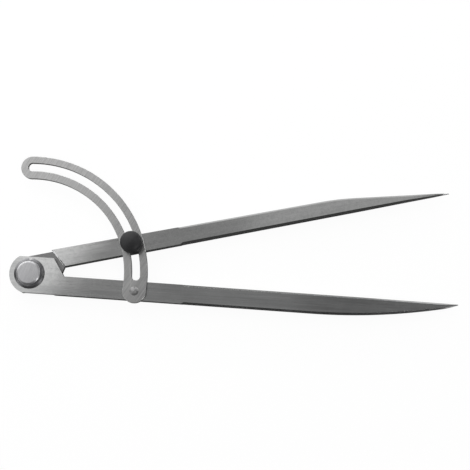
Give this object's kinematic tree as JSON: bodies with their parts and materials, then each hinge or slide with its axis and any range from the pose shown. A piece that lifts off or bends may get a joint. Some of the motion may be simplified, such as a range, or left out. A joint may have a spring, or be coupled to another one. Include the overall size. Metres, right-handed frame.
{
  "type": "divider caliper",
  "caption": "Flat-bar wing divider: long pointed steel legs on a riveted half-lap pivot, with a slotted quadrant arc and a black lock knob that holds the opening.",
  "frame": {"origin": "on the pivot axis, in the plane of the legs' back faces that the tool lies on", "axes": "+X along the front leg's inner edge towards its point, +Z out of the front faces, +Y to the side on which the rear leg opens"},
  "size_m": [0.2619, 0.0825, 0.02],
  "materials": {
    "leg_steel": "fine ground, satin",
    "rivet_steel": "brushed, bright bevel",
    "washer_steel": "satin",
    "arc_steel": "brushed",
    "knob_plastic": "smooth, semi-matte",
    "screw_steel": "turned"
  },
  "bodies": {
    "front": {"front_leg": "leg_steel", "pivot_rivet": "rivet_steel", "pivot_washer": "washer_steel", "arc": "arc_steel", "arc_rivet": "rivet_steel"},
    "rear": {"rear_leg": "leg_steel"},
    "lock_lift_carrier": {"lock_washer": "washer_steel"},
    "lock": {"lock_knob": "knob_plastic", "lock_screw": "screw_steel"}
  },
  "joints": [
    {"name": "leg_hinge", "type": "hinge", "parent": "front", "child": "rear", "pos_m": [0, 0, 0.00375], "axis": [0, 0, 1], "range_deg": [-14.8, 73]},
    {"name": "lock_lift", "type": "slide", "parent": "rear", "child": "lock_lift_carrier", "axis": [0, 0, 1], "range_m": [0, 0.0014]},
    {"name": "lock_spin", "type": "hinge", "parent": "lock_lift_carrier", "child": "lock", "pos_m": [0.05904, 0.02139, 0.01], "axis": [0, 0, 1], "range_deg": [0, 720]}
  ],
  "couplings": [
    {"joint": "lock_spin", "follows": "lock_lift", "rad_per_m": 8976}
  ]
}
